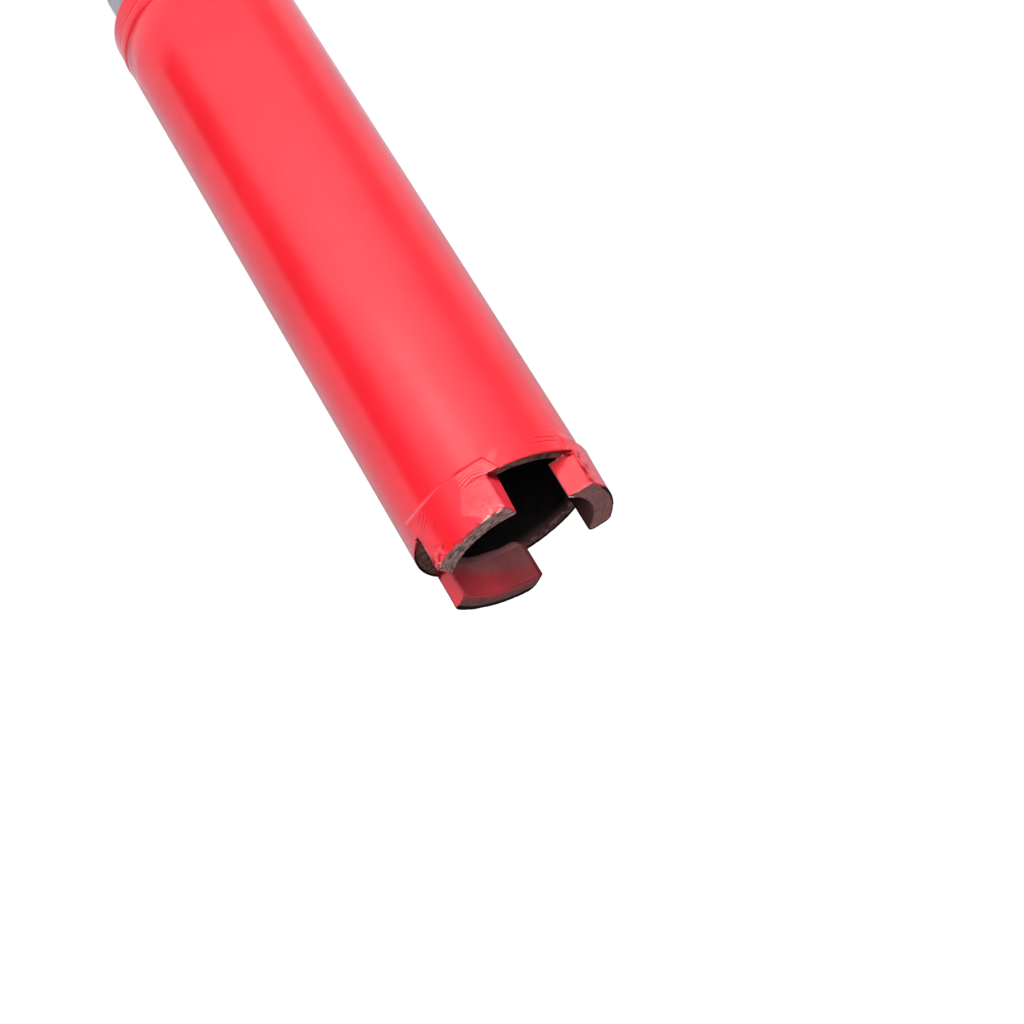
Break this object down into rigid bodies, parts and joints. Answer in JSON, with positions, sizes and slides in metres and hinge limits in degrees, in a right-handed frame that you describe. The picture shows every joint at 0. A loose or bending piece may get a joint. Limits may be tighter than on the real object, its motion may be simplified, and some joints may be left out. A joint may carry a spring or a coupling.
{
  "type": "diamond core bit",
  "caption": "Thin-walled diamond core bit with a painted steel barrel, brazed cutting segments and a threaded hub, for drilling round holes in concrete and masonry.",
  "frame": {"origin": "centre of the hub's face, on the axis of its thread, where the bit seats on a drill spindle and where it stands", "axes": "+Z along the barrel's axis from the hub to the cutting crown; -Y towards the side that the picture shows"},
  "size_m": [0.0422, 0.0425, 0.176],
  "materials": {
    "red_paint": "semi-gloss red paint over the tube, its weld and the sides of the segments, dark bare steel on the tube's end and inside",
    "segment_matrix": "sintered metal and diamond, red paint on the sides, bare and granular on the cutting face",
    "braze_metal": "silver braze, ground on the outside and painted red",
    "hub_steel": "turned steel, painted red on the shoulder"
  },
  "bodies": {
    "root": {"barrel": "red_paint", "segment_1": "segment_matrix", "segment_2": "segment_matrix", "segment_3": "segment_matrix", "braze_joint_1": "braze_metal", "braze_joint_2": "braze_metal", "braze_joint_3": "braze_metal", "hub": "hub_steel", "hub_weld": "red_paint"}
  },
  "joints": []
}
